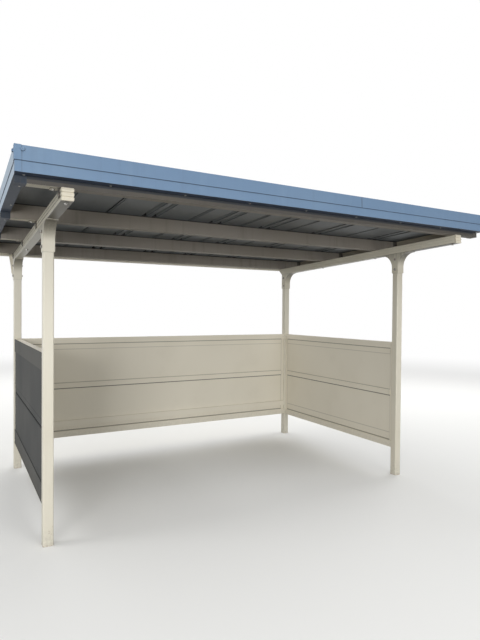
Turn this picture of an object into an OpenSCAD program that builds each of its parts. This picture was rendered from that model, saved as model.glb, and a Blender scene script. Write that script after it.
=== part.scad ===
// Open-fronted bike shelter: four square posts, pressed post heads, two roof arms,
// four purlins, a ribbed steel deck with a two-band fascia, a rain gutter with its downpipe,
// and three low walls.
// Millimetres, +Z up. X is the width, Y runs from the open front to the back wall.
// The origin is on the floor, under the middle of the roof.

/* [Posts] */
// Distance between post centres across the width
bay_w = 2810; // [2000:10:3600]
// Distance between post centres from front to back
bay_d = 1680; // [1300:10:2200]
// Outer width of the square post
post_size = 60; // [50:1:80]
// Wall thickness of the post tube
post_wall = 3.2; // [2:0.1:4]
// Outer corner radius of the post tube
post_corner_r = 8; // [6:0.5:12]

/* [Roof] */
// Height of the arm underside over the front posts
head_h = 1875; // [1600:5:2300]
// Fall of the roof towards the back, in degrees
roof_fall = 2.4; // [0.5:0.1:5]
// Roof edge in front of the front post centres
front_overhang = 650; // [350:5:900]
// Roof edge behind the back post centres
back_overhang = 195; // [190:5:300]
// Roof edge outside the post centres at each side
side_overhang = 240; // [190:5:350]

/* [Arms] */
// Width of the arm tube
arm_w = 60; // [50:1:80]
// Height of the arm tube
arm_h = 63; // [50:1:90]
// Corner radius of the arm tube
arm_corner_r = 5; // [1:0.5:9]
// Wall thickness of the arm tube
arm_wall = 3.2; // [2:0.1:4]
// Height of each groove along the arm side
arm_groove_h = 7; // [4:0.5:9]
// Depth of the grooves along the arm side
arm_groove_d = 2.5; // [1:0.1:4]
// Distance from the roof edge to the arm end
arm_setback = 50; // [30:1:100]
// Length of an arm end cap, ribs included
arm_cap_l = 14; // [10:0.5:25]
// Depth of the ribs on the front of an arm end cap
arm_cap_rib_d = 4; // [2:0.5:6]
// Length of an arm past the back purlin
arm_tail = 18; // [5:1:25]
// Thickness of the plate that closes the slanted back end of an arm
arm_tail_t = 3; // [2:0.5:5]

/* [Post heads] */
// Plate thickness of a post head
head_plate = 3.2; // [2:0.1:5]
// Length of a post head below the arm
head_len = 163; // [140:1:220]
// Radius of the curved front and back of a post head, only the front on the back posts
head_r = 112; // [80:1:120]
// Straight lip of a post head along the arm
head_lip = 12; // [5:1:30]

/* [Purlins] */
// Height of a purlin
purlin_h = 94; // [70:1:120]
// Width of a purlin flange
purlin_flange = 55; // [40:1:66]
// Height of the turned-up purlin lip
purlin_lip = 15; // [10:1:20]
// Sheet thickness of a purlin
purlin_t = 2.3; // [1.6:0.1:3.2]
// Distance between the rear three purlins
purlin_pitch = 745; // [550:5:800]
// Distance from the front end of the arm to the front purlin
front_purlin_inset = 15; // [5:1:60]
// Distance from the back post face to the back purlin
back_purlin_gap = 5; // [0:1:12]
// Distance from the side roof edge to the purlin ends
purlin_end_gap = 45; // [10:1:80]

/* [Deck] */
// Sheet thickness of the deck
deck_t = 1.5; // [1:0.1:2]
// Width of each of the two middle deck sheets
narrow_sheet_w = 424; // [300:1:480]
// Width of the deck sheets next to the middle ones
wide_sheet_w = 582; // [450:1:640]
// Height of the paired deck ribs
rib_h = 22; // [15:1:35]
// Width of a deck rib at its foot
rib_foot_w = 40; // [30:1:50]
// Width of a deck rib at its top
rib_top_w = 22; // [12:1:26]
// Distance between the centres of a rib pair
rib_pair_pitch = 72; // [56:1:100]
// Width of the raised seam between two deck sheets
seam_w = 16; // [10:1:40]
// Height of the raised seam between two deck sheets
seam_h = 26; // [18:1:35]
// Width of the flat step beside a deck seam
seam_foot_w = 12; // [6:1:20]
// Height of the flat step beside a deck seam
seam_foot_h = 4; // [2:0.5:6]
// Height of the upturned side edge of the deck
deck_upturn = 30; // [15:1:40]

/* [Fascia] */
// Sheet thickness of the fascia
fascia_t = 1.5; // [1:0.1:2.5]
// Fascia lower edge above the arm underside
fascia_low = 96; // [70:1:120]
// Height of the lower fascia band
fascia_low_band = 52; // [35:1:60]
// Height of the upper fascia band
fascia_up_band = 70; // [60:1:110]
// Step between the face of the upper band and the lower band
fascia_step = 3; // [2:0.5:8]
// Height of the lower band past the deck and past the foot of the upper band, hidden behind it
fascia_tab_h = 13; // [8:1:30]
// Width of the return under the roof edge
soffit_w = 58; // [40:1:64]
// Height of the lip along the return under the roof edge
soffit_lip_h = 12; // [5:1:25]
// Clearance between the side return and a purlin
notch_gap = 2; // [0.5:0.5:5]
// Width of the top return over the roof edge
top_return = 75; // [68:1:110]
// Length of a corner cap along each side
corner_cap = 30; // [25:1:70]
// Distance from the front roof edge to the ends of the deck sheets
deck_end_gap = 30; // [8:1:38]
// Length of the deck sheets past the leg of the top return, over the rain gutter
deck_drip = 5; // [2:0.5:8]
// Place of the seam in the front upper band, from the roof middle
front_seam_x = 410; // [-1200:10:1200]
// Open joint between two lengths of fascia
fascia_joint = 1; // [0.5:0.1:3]

/* [Rain gutter] */
// Underside of the gutter above the arm underside
gutter_low = 58; // [40:1:70]
// Height of the front side of the gutter
gutter_front_h = 70; // [50:1:84]
// Sheet thickness of the gutter
gutter_t = 2; // [1.2:0.1:3]
// Clearance between the arm ends and the gutter
gutter_gap = 2; // [1:0.5:6]
// Distance from the side roof edge to the gutter ends
gutter_end_gap = 76; // [68:1:120]
// Height of the hopper under the gutter
hopper_h = 140; // [100:5:180]
// Radius of the hopper at its top
hopper_top_r = 41; // [34:1:43]
// Distance from the post centre out to the hopper centre
hopper_out = 14; // [0:1:40]
// Outer radius of the downpipe
pipe_r = 21; // [18:0.5:26]
// Wall thickness of the downpipe and the hopper
pipe_t = 2.5; // [1.5:0.1:3]
// Distance from the back face of the post to the downpipe
pipe_gap = 6; // [4:0.5:15]
// Height of the lower end of the downpipe
pipe_foot = 60; // [20:5:200]
// Height of a pipe clip
clip_h = 20; // [12:1:40]

/* [Walls] */
// Height of the wall top
wall_top = 1125; // [900:5:1400]
// Height of the open strip under the walls
wall_bottom = 225; // [100:5:400]
// Thickness of the wall rails
rail_w = 45; // [40:1:50]
// Height of the top rail
top_rail_h = 50; // [35:1:80]
// Height of the flange under the outer face of the top rail
skirt_h = 57; // [20:1:90]
// Height of the bottom rail
bottom_rail_h = 55; // [35:1:80]
// Height of the flange over the outer face of the bottom rail
foot_flange_h = 66; // [20:1:90]
// Sheet thickness of the wall rails
rail_t = 2; // [1.2:0.1:3]
// Distance from the outer post face to the outer wall face
wall_inset = 5; // [2:0.5:8]
// Sheet thickness of a wall panel
panel_t = 1.5; // [1:0.1:2]
// Height of the lower wall panel
low_panel_h = 390; // [250:5:500]
// Height of the ledge at the foot of the upper panel
ledge_h = 45; // [30:1:70]
// Depth of the ledge at the foot of the upper panel
ledge_d = 9; // [4:0.5:12]
// Distance from the inner rail face back to the ledge face
ledge_inset = 3; // [0:0.5:5]
// Height of the raised strip at the head of the upper panel
head_strip_h = 50; // [30:1:80]
// Depth of the raised strip at the head of the upper panel
head_strip_d = 3; // [1.5:0.1:5]
// Height of the groove along the outer foot of a panel
groove_h = 8; // [4:0.5:12]
// Depth of the groove along the outer foot of a panel
groove_d = 5; // [2:0.5:8]
// Width of the upright channel at each wall end
end_channel_w = 30; // [20:1:45]
// Sheet thickness of the upright channel
channel_t = 2; // [1.2:0.1:2.5]
// Height of the stiffening rail inside the back wall
inner_rail_h = 52; // [35:1:70]
// Depth of the stiffening rail inside the back wall
inner_rail_d = 14; // [10:1:20]
// Height of the stiffening rail above the bottom rail
inner_rail_up = 42; // [20:1:90]

/* [Hidden] */

cream = "#dcd8cb";
blue_grey = "#7089a6";
deck_grey = "#7f8384";
corner_fn = 48;
bend_fn = 96;

// Roof frame: its origin is on the arm underside over the front post centres, with Y along the
// fall and Z square to it. Places along the fall end in _s, heights above the underside in _n.
roof_w = bay_w + 2 * side_overhang;
back_post_s = bay_d / cos(roof_fall);
edge_front_s = -front_overhang / cos(roof_fall);
edge_back_s = back_post_s + back_overhang / cos(roof_fall);
roof_l = edge_back_s - edge_front_s;
roof_mid_s = (edge_front_s + edge_back_s) / 2;
fascia_mid_n = fascia_low + fascia_low_band;
fascia_top_n = fascia_mid_n + fascia_up_band;
deck_n = arm_h + purlin_h;
deck_top_n = deck_n + deck_t;
seam_top_n = deck_n + seam_h + deck_t;

front_purlin_s = edge_front_s + arm_setback + front_purlin_inset;
back_purlin_s = back_post_s + post_size / 2 + back_purlin_gap;
purlin_places = [
    front_purlin_s, back_purlin_s - 2 * purlin_pitch,
    back_purlin_s - purlin_pitch, back_purlin_s
];
purlin_l = roof_w - 2 * purlin_end_gap;
arm_front_s = edge_front_s + arm_setback;
arm_back_s = back_purlin_s + purlin_flange + arm_tail;
deck_front_s = edge_front_s + deck_end_gap;
deck_back_s = edge_back_s - top_return + deck_drip;
gutter_front_s = arm_back_s + gutter_gap;
gutter_back_s = edge_back_s - fascia_step;
hopper_s = (gutter_front_s + gutter_back_s) / 2;
hopper_x = -bay_w / 2 - hopper_out;
tab_top_n = max(deck_n, fascia_mid_n) + fascia_tab_h;

// The deck reaches the inner face of the lower fascia band at both sides
deck_w = roof_w - 2 * (fascia_step + fascia_t);
edge_sheet_w = deck_w / 2 - narrow_sheet_w - wide_sheet_w;
sheet_widths = [
    edge_sheet_w, wide_sheet_w, narrow_sheet_w,
    narrow_sheet_w, wide_sheet_w, edge_sheet_w
];

// The outermost corner caps of the tilted roof edge set the middle of the part
low_band_y = (edge_front_s - fascia_t + fascia_step) * cos(roof_fall) + fascia_low * sin(roof_fall);
up_band_y = (edge_front_s - fascia_t) * cos(roof_fall) + fascia_mid_n * sin(roof_fall);
rear_top_y = (edge_back_s + fascia_t) * cos(roof_fall) + (fascia_top_n + fascia_t) * sin(roof_fall);
front_y = -(min(low_band_y, up_band_y) + rear_top_y) / 2;
back_y = front_y + bay_d;
mid_y = (front_y + back_y) / 2;

outer_w = bay_w + post_size;
outer_back_y = back_y + post_size / 2;
pipe_y = outer_back_y + pipe_gap + pipe_r;
clear_w = bay_w - post_size;
clear_d = bay_d - post_size;

// Depths in a wall, inwards from the outer post face
channel_x = wall_inset + rail_t;
panel_out_x = channel_x + channel_t;
panel_in_x = wall_inset + rail_w - ledge_inset - ledge_d;

// Heights in a wall
panel_top = wall_top - top_rail_h;
panel_foot = wall_bottom + bottom_rail_h;
panel_split = panel_foot + low_panel_h;

// Sum of the first n items of a list
function sum_to(list, n) = n <= 0 ? 0 : list[n - 1] + sum_to(list, n - 1);

// Height of the arm underside at a distance d behind the front post centres
function underside(d) = head_h - d * tan(roof_fall);

// Length of a wall between its posts
function wall_length(wall) = wall == "back" ? clear_w : clear_d;

// Unit normal on the left of the way from a to b
function left_normal(a, b) = [a[1] - b[1], b[0] - a[0]] / norm(b - a);

// Point i of a path, moved to the left by t with a mitred corner
function moved(path, i, t) =
    let (last = len(path) - 1)
    let (n1 = left_normal(path[max(i - 1, 0)], path[max(i, 1)]))
    let (n2 = left_normal(path[min(i, last - 1)], path[min(i + 1, last)]))
    path[i] + t * (n1 + n2) / (1 + n1 * n2);

// Folded sheet of even thickness t on the left of a path, or on its right where t is negative
module fold(path, t) {
    last = len(path) - 1;
    polygon(concat(path, [for (i = [last : -1 : 0]) moved(path, i, t)]));
}

// Runs a profile along X, centred: profile x becomes Y and profile y becomes Z
module along_x(length) {
    rotate([90, 0, 90]) linear_extrude(length, center = true) children();
}

// Runs a profile along Y, centred: profile x stays X and profile y becomes Z
module along_y(length) {
    rotate([90, 0, 0]) linear_extrude(length, center = true) children();
}

// Puts children into the roof frame
module on_roof() {
    translate([0, front_y, head_h]) rotate([-roof_fall, 0, 0]) children();
}

// Rectangle with round corners, centred
module round_rect(w, h, r) {
    square([w, h - 2 * r], center = true);
    square([w - 2 * r, h], center = true);
    for (x = [-1, 1], y = [-1, 1])
        translate([x * (w / 2 - r), y * (h / 2 - r)]) circle(r, $fn = corner_fn);
}

// Square tube that ends inside the post head
module post(side, depth) {
    top = underside(depth + post_size / 2) - 2 * head_plate;
    color(cream)
    translate([side * bay_w / 2, front_y + depth, 0])
    linear_extrude(top)
    difference() {
        round_rect(post_size, post_size, post_corner_r);
        round_rect(post_size - 2 * post_wall, post_size - 2 * post_wall, post_corner_r - post_wall);
    }
}

// Side view of a post head, open below: a straight sleeve that curves out to the sloping
// arm underside in front, and also behind where it has two flares. shrink moves the sides
// inwards, and drop lowers the sloping top.
module head_outline(flares, shrink, drop, foot) {
    fall = tan(roof_fall);
    r = head_r + shrink;
    centre_y = post_size / 2 + head_plate + head_r;
    tip_y = centre_y + head_lip - shrink;
    far_y = tip_y + head_plate;
    rear_y = flares == 2 ? tip_y : centre_y - r;
    difference() {
        polygon([
            [-tip_y, foot],
            [rear_y, foot],
            [rear_y, -rear_y * fall - drop],
            [-tip_y, tip_y * fall - drop]
        ]);
        for (side = flares == 2 ? [-1, 1] : [-1]) {
            centre = [side * centre_y, -side * centre_y * fall - (head_r + head_plate) / cos(roof_fall)];
            touch = centre + r * [sin(roof_fall), cos(roof_fall)];
            translate(centre) circle(r, $fn = bend_fn);
            polygon([
                centre - [side * r, 0],
                centre,
                touch,
                [side * far_y, touch[1] - (side * far_y - touch[0]) * fall],
                [side * far_y, foot - 1],
                [side * (centre_y - r), foot - 1]
            ]);
        }
    }
}

// Pressed head that sleeves the post and carries the arm on its curved sides
module post_head(side, depth) {
    flares = depth == 0 ? 2 : 1;
    color(cream)
    translate([side * bay_w / 2, front_y + depth, underside(depth)])
    difference() {
        along_x(post_size + 2 * head_plate) head_outline(flares, 0, 0, -head_len);
        along_x(post_size) head_outline(flares, head_plate, head_plate / cos(roof_fall), -head_len - 1);
    }
}

// Outline of the roof arm with two grooves pressed into each side, its underside at y = 0
module arm_outline() {
    difference() {
        translate([0, arm_h / 2]) round_rect(arm_w, arm_h, arm_corner_r);
        for (side = [-1, 1], k = [1, 2])
            translate([side * arm_w / 2, k * arm_h / 3])
                square([2 * arm_groove_d, arm_groove_h], center = true);
    }
}

// Runs a profile along the roof fall from one place to another
module from_to(start_s, end_s) {
    translate([0, (start_s + end_s) / 2, 0]) along_y(end_s - start_s) children();
}

// Space behind the slanted back end of an arm, moved forward by inset
module behind_tail(inset) {
    reach = 3 * arm_h;
    translate([0, arm_back_s, arm_h])
    rotate([-45, 0, 0])
    translate([-arm_w, -inset, -reach]) cube([2 * arm_w, reach, 2 * reach]);
}

// Grooved tube with its back end cut at a slant
module arm(side) {
    bore_w = arm_w - 2 * (arm_wall + arm_groove_d);
    color(cream)
    on_roof()
    translate([side * bay_w / 2, 0, 0])
    difference() {
        from_to(arm_front_s + arm_cap_l, arm_back_s)
        difference() {
            arm_outline();
            translate([-bore_w / 2, arm_wall]) square([bore_w, arm_h - 2 * arm_wall]);
        }
        behind_tail(arm_tail_t);
    }
}

// Side view of an arm end cap with three sloping ribs, its face at x = 0
module cap_profile() {
    pitch = arm_h / 3;
    polygon(concat(
        [[arm_cap_l, 0]],
        [for (k = [0 : 2], p = [[0, k], [0, k + 0.5], [arm_cap_rib_d, k + 1]]) [p[0], p[1] * pitch]],
        [[arm_cap_l, arm_h]]
    ));
}

// End cap with the outline of the arm, its ribbed face at y = 0
module arm_end_cap() {
    intersection() {
        along_x(arm_w) cap_profile();
        translate([0, arm_cap_l / 2, 0]) along_y(arm_cap_l) arm_outline();
    }
}

// Plate that closes the slanted back end of an arm
module arm_tail_plate() {
    difference() {
        intersection() {
            from_to(arm_back_s - 2 * arm_h, arm_back_s) arm_outline();
            behind_tail(arm_tail_t);
        }
        behind_tail(0);
    }
}

module arm_end_caps() {
    color(cream)
    on_roof()
    for (side = [-1, 1])
        translate([side * bay_w / 2, 0, 0]) {
            translate([0, arm_front_s, 0]) arm_end_cap();
            arm_tail_plate();
        }
}

// C section with its web at x = 0 and its flanges towards +x
module purlin_section() {
    w = purlin_flange;
    fold([
        [w, purlin_lip], [w, 0], [0, 0],
        [0, purlin_h], [w, purlin_h], [w, purlin_h - purlin_lip]
    ], -purlin_t);
}

module purlin(s) {
    color(cream)
    on_roof()
    translate([0, s, arm_h]) along_x(purlin_l) purlin_section();
}

// Corner points of one trapezoid rib centred on x
function rib(x) = [
    [x - rib_foot_w / 2, 0], [x - rib_top_w / 2, rib_h],
    [x + rib_top_w / 2, rib_h], [x + rib_foot_w / 2, 0]
];

// Section of one deck sheet of width w, centred. Its left edge steps up and stands under the
// cover of the seam, its right edge is the cover over the next sheet, and the outermost edges
// turn up.
module deck_section(w, first, last) {
    joint = w / 2 + seam_w / 2 + deck_t;
    stand = (seam_w - w) / 2;
    left = first
        ? [[-w / 2, deck_upturn], [-w / 2, 0]]
        : [
            [stand, seam_h], [stand, seam_foot_h],
            [stand + seam_foot_w, seam_foot_h], [stand + seam_foot_w, 0]
        ];
    right = last
        ? [[w / 2, 0], [w / 2, deck_upturn]]
        : [
            [(w - seam_w) / 2, 0], [(w - seam_w) / 2, seam_h],
            [joint, seam_h], [joint, seam_h - 4 * deck_t]
        ];
    fold(concat(left, rib(-rib_pair_pitch / 2), rib(rib_pair_pitch / 2), right), deck_t);
}

module deck_sheet(i) {
    x = sum_to(sheet_widths, i) + (sheet_widths[i] - deck_w) / 2;
    color(deck_grey)
    on_roof()
    translate([x, 0, deck_n])
    from_to(deck_front_s, deck_back_s)
        deck_section(sheet_widths[i], i == 0, i == len(sheet_widths) - 1);
}

// Lower band with its tab up to the deck edge and its lipped return under the roof edge,
// inwards along x
module lower_fascia_section() {
    fold([
        [fascia_step, tab_top_n],
        [fascia_step, fascia_low],
        [soffit_w, fascia_low],
        [soffit_w, fascia_low + soffit_lip_h]
    ], fascia_t);
}

// Upper band with a hem against the lower one, its return over the roof edge and its leg down
// to leg_n, inwards along x
module upper_fascia_section(leg_n) {
    fold([
        [fascia_step, fascia_mid_n], [0, fascia_mid_n], [0, fascia_top_n],
        [top_return, fascia_top_n], [top_return, leg_n]
    ], -fascia_t);
}

// Plan of one side of the roof edge, with the edge along x and both corners cut at 45 degrees
module mitre_plan(length) {
    depth = top_return + fascia_t;
    polygon([
        [-length / 2, 0], [length / 2, 0],
        [length / 2 - depth, depth], [depth - length / 2, depth]
    ]);
}

// Runs a section along one side of the roof edge: 0 front, 1 right, 2 back, 3 left
module fascia_side(side) {
    across = side % 2 == 0;
    length = across ? roof_w : roof_l;
    reach = across ? roof_l / 2 : roof_w / 2;
    on_roof()
    translate([0, roof_mid_s, 0])
    rotate([0, 0, 90 * side])
    translate([0, -reach, 0])
    intersection() {
        along_x(length) children();
        linear_extrude(2 * fascia_top_n) mitre_plan(length);
    }
}

module fascia_lower(side) {
    color(blue_grey) fascia_side(side) lower_fascia_section();
}

// The returns at the sides are notched round the purlin ends
module fascia_side_lower(side) {
    notch_l = purlin_flange + 2 * notch_gap;
    x = purlin_l / 2 + notch_gap - soffit_w / 2;
    color(blue_grey)
    difference() {
        fascia_lower(side);
        on_roof()
        for (s = purlin_places)
            translate([side == 1 ? x : -x, s + purlin_flange / 2, fascia_low])
                cube([soffit_w, notch_l, 4 * soffit_lip_h], center = true);
    }
}

// The leg stands on the deck seams in front and behind, and on the deck itself at the sides
module fascia_upper(side) {
    color(blue_grey) fascia_side(side) upper_fascia_section(side % 2 == 0 ? seam_top_n : deck_top_n);
}

// The front upper band comes in two lengths with an open joint
module fascia_front_upper() {
    color(blue_grey)
    difference() {
        fascia_upper(0);
        on_roof()
        translate([front_seam_x - fascia_joint / 2, edge_front_s - 1, 0])
            cube([fascia_joint, top_return + 2, 2 * fascia_top_n]);
    }
}

// One leg of a corner cap, along +x from the roof corner at the origin
module corner_cap_leg() {
    t = fascia_t;
    translate([-t, -t, fascia_mid_n]) cube([corner_cap + t, t, fascia_up_band + t]);
    translate([fascia_step - t, fascia_step - t, fascia_low])
        cube([corner_cap - fascia_step + t, t, fascia_low_band - fascia_joint]);
}

module roof_corner_caps() {
    t = fascia_t;
    color(blue_grey)
    on_roof()
    translate([0, roof_mid_s, 0])
    for (turn = [0, 1], flip = [0, 1])
        rotate([0, 0, 180 * turn])
            translate([(1 - 2 * flip) * roof_w / 2, -roof_l / 2, 0])
                rotate([0, 0, flip == 1 ? 0 : 90]) {
                    corner_cap_leg();
                    mirror([1, -1, 0]) corner_cap_leg();
                    translate([-t, -t, fascia_top_n]) cube([corner_cap + t, corner_cap + t, t]);
                }
}

// Point of the roof frame on the fall line s at height n, as its own Y and Z in the part
function roof_point(s, n) = [
    front_y + s * cos(roof_fall) + n * sin(roof_fall),
    head_h - s * sin(roof_fall) + n * cos(roof_fall)
];

// Rod of radius r between two points
module rod(from, to, r) {
    way = to - from;
    translate(from)
    rotate([0, acos(way[2] / norm(way)), atan2(way[1], way[0])])
        cylinder(h = norm(way), r = r, $fn = corner_fn);
}

// Open channel behind the arm ends with a plate at each end, its back side up to the fascia
module gutter_channel() {
    foot = gutter_low;
    length = roof_w - 2 * gutter_end_gap;
    along_x(length) fold([
        [gutter_front_s, foot + gutter_front_h], [gutter_front_s, foot],
        [gutter_back_s, foot], [gutter_back_s, fascia_low]
    ], gutter_t);
    for (side = [-1, 1])
        translate([side * (length - gutter_t) / 2, 0, 0])
            along_x(gutter_t)
                translate([gutter_front_s, foot])
                    square([gutter_back_s - gutter_front_s, fascia_low - foot]);
}

// Shape of the way down from the gutter, on its outside or, moved in by inset, on its inside: a
// hopper, a slanted pipe with a round bend at each end, and an upright pipe behind the post
module water_way(inset, bend) {
    r = pipe_r - inset;
    top_r = hopper_top_r - inset;
    neck_n = gutter_low - hopper_h;
    neck = concat(hopper_x, roof_point(hopper_s, neck_n));
    knee = [-bay_w / 2, pipe_y, underside(bay_d) - head_len - 2 * pipe_r];
    on_roof()
    translate([hopper_x, hopper_s, neck_n])
        cylinder(h = hopper_h + gutter_t / 2 + 2 * inset, r1 = r, r2 = top_r, $fn = corner_fn);
    for (place = [neck, knee]) translate(place) sphere(r = r + bend, $fn = corner_fn);
    rod(neck, knee, r);
    translate([knee[0], knee[1], pipe_foot - inset])
        cylinder(h = knee[2] - pipe_foot + inset, r = r, $fn = corner_fn);
}

// Clip that holds the downpipe on the post at height z
module pipe_clip(z) {
    translate([-bay_w / 2, pipe_y, z]) cylinder(h = clip_h, r = pipe_r + pipe_t, $fn = corner_fn);
    translate([-(bay_w + clip_h) / 2, outer_back_y, z]) cube([clip_h, pipe_gap + pipe_t, clip_h]);
}

// Gutter under the back edge with its hopper and downpipe at the left back post
module rain_gutter() {
    color(cream)
    difference() {
        union() {
            on_roof() gutter_channel();
            water_way(0, pipe_t);
            pipe_clip(wall_top);
            pipe_clip(wall_bottom);
        }
        water_way(pipe_t, pipe_t / 2);
    }
}

// Puts children into a wall: X along it, Y inwards from the outer post face, Z up
module in_wall(wall) {
    if (wall == "back") translate([0, outer_back_y, 0]) mirror([0, 1, 0]) children();
    if (wall == "left") translate([-outer_w / 2, mid_y, 0]) mirror([1, -1, 0]) children();
    if (wall == "right") translate([outer_w / 2, mid_y, 0]) rotate([0, 0, 90]) children();
}

// Box section of a wall rail, from its foot up
module rail_section(foot, height) {
    translate([wall_inset, foot])
    difference() {
        square([rail_w, height]);
        translate([rail_t, rail_t]) square([rail_w - 2 * rail_t, height - 2 * rail_t]);
    }
}

// The top rail has a flange down over the head of the panel outside
module wall_top_rail(wall) {
    color(cream)
    in_wall(wall)
    along_x(wall_length(wall)) {
        rail_section(panel_top, top_rail_h);
        translate([wall_inset, panel_top - skirt_h]) square([rail_t, skirt_h + rail_t]);
    }
}

// The bottom rail has a flange up over the foot of the panel outside
module wall_bottom_rail(wall) {
    color(cream)
    in_wall(wall)
    along_x(wall_length(wall)) {
        rail_section(wall_bottom, bottom_rail_h);
        translate([wall_inset, panel_foot - rail_t]) square([rail_t, foot_flange_h + rail_t]);
    }
}

// Panel section between foot and head, moved in by inset all round
module panel_outline(foot, head, inset) {
    out = panel_out_x + inset;
    groove = foot + groove_h + inset;
    polygon([
        [out + groove_d, foot + inset], [panel_in_x - inset, foot + inset],
        [panel_in_x - inset, head - inset], [out, head - inset],
        [out, groove], [out + groove_d, groove]
    ]);
}

// Raised band across the inner face of a panel from low to high, moved in by inset all round
module band_outline(low, high, depth, inset) {
    translate([panel_in_x - 2 * panel_t, low + inset])
        square([2 * panel_t + depth - inset, high - low - 2 * inset]);
}

// Double-skinned panel with its ends in the end channels. Each of the bands, listed as
// [low, high, depth], is pressed out of the inner skin between the channels.
module wall_panel(wall, foot, head, bands) {
    length = wall_length(wall);
    band_l = length - 2 * end_channel_w;
    color(cream)
    in_wall(wall)
    difference() {
        union() {
            along_x(length - 2 * channel_t) panel_outline(foot, head, 0);
            for (b = bands) along_x(band_l) band_outline(b[0], b[1], b[2], 0);
        }
        along_x(length) panel_outline(foot, head, panel_t);
        for (b = bands) along_x(band_l - 2 * panel_t) band_outline(b[0], b[1], b[2], panel_t);
    }
}

module wall_upper_panel(wall) {
    wall_panel(wall, panel_split, panel_top, [
        [panel_split, panel_split + ledge_h, ledge_d],
        [panel_top - head_strip_h, panel_top, head_strip_d]
    ]);
}

module wall_lower_panel(wall) {
    wall_panel(wall, panel_foot, panel_split, []);
}

// Plan of an upright channel that holds the end of a panel, its web on the post at x = 0
module channel_plan() {
    fold([
        [end_channel_w, channel_x], [0, channel_x],
        [0, panel_in_x + channel_t], [end_channel_w, panel_in_x + channel_t]
    ], -channel_t);
}

module wall_end_channels() {
    color(cream)
    for (wall = ["back", "left", "right"], end = [0, 1])
        in_wall(wall)
            mirror([end, 0, 0])
                translate([-wall_length(wall) / 2, 0, panel_foot])
                    linear_extrude(panel_top - panel_foot) channel_plan();
}

// Flat channel across the inside of the back wall, from post to post
module back_wall_inner_rail() {
    x = panel_in_x + channel_t;
    low = panel_foot + inner_rail_up;
    color(cream)
    in_wall("back")
    along_x(clear_w)
    fold([
        [x, low], [x + inner_rail_d, low],
        [x + inner_rail_d, low + inner_rail_h], [x, low + inner_rail_h]
    ], rail_t);
}

post(-1, 0);  // post_front_left
post(1, 0);  // post_front_right
post(-1, bay_d);  // post_back_left
post(1, bay_d);  // post_back_right
post_head(-1, 0);  // post_head_front_left
post_head(1, 0);  // post_head_front_right
post_head(-1, bay_d);  // post_head_back_left
post_head(1, bay_d);  // post_head_back_right
arm(-1);  // arm_left
arm(1);  // arm_right
arm_end_caps();
purlin(purlin_places[0]);  // purlin_front
purlin(purlin_places[1]);  // purlin_second
purlin(purlin_places[2]);  // purlin_third
purlin(purlin_places[3]);  // purlin_back
deck_sheet(0);  // deck_sheet_1
deck_sheet(1);  // deck_sheet_2
deck_sheet(2);  // deck_sheet_3
deck_sheet(3);  // deck_sheet_4
deck_sheet(4);  // deck_sheet_5
deck_sheet(5);  // deck_sheet_6
fascia_front_upper();
fascia_upper(1);  // fascia_right_upper
fascia_upper(2);  // fascia_back_upper
fascia_upper(3);  // fascia_left_upper
fascia_lower(0);  // fascia_front_lower
fascia_side_lower(1);  // fascia_right_lower
fascia_lower(2);  // fascia_back_lower
fascia_side_lower(3);  // fascia_left_lower
roof_corner_caps();
rain_gutter();
wall_top_rail("back");  // back_wall_top_rail
wall_upper_panel("back");  // back_wall_upper_panel
wall_lower_panel("back");  // back_wall_lower_panel
wall_bottom_rail("back");  // back_wall_bottom_rail
wall_top_rail("left");  // left_wall_top_rail
wall_upper_panel("left");  // left_wall_upper_panel
wall_lower_panel("left");  // left_wall_lower_panel
wall_bottom_rail("left");  // left_wall_bottom_rail
wall_top_rail("right");  // right_wall_top_rail
wall_upper_panel("right");  // right_wall_upper_panel
wall_lower_panel("right");  // right_wall_lower_panel
wall_bottom_rail("right");  // right_wall_bottom_rail
wall_end_channels();
back_wall_inner_rail();
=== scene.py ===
import math

import bpy
from mathutils import Matrix, Vector


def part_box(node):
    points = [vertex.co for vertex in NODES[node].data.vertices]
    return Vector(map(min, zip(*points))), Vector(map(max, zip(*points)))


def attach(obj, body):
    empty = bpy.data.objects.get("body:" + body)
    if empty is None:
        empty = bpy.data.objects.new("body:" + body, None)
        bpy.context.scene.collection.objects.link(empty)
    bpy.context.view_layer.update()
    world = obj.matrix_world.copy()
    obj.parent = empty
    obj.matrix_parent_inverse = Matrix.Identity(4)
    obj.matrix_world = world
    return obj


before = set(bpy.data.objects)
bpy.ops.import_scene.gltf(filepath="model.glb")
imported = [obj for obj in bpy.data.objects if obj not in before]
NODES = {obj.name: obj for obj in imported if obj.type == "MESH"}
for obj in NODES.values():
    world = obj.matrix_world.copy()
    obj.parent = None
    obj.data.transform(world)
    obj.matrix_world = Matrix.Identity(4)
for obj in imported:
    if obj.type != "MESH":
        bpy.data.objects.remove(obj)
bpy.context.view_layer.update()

# Looks of an open-fronted bike shelter: paint, grime, rust, and painted light and shade on the imported
# frame, roof and walls, with the bolts, screws, cleats and seals that hold it together. Metres, as the
# frame is.

BODY = "root"

# Camera, set off from the outer front corner of the left front post
VIEW_SIDE = 0.4387
VIEW_BACK = 3.1118
VIEW_HEIGHT = 1.375
VIEW_TURN = math.radians(29.118)
VIEW_DIP = math.radians(0.926)
VIEW_ROLL = math.radians(0.455)
VIEW_LENS = 28.70
VIEW_SENSOR = 36.0

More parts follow.
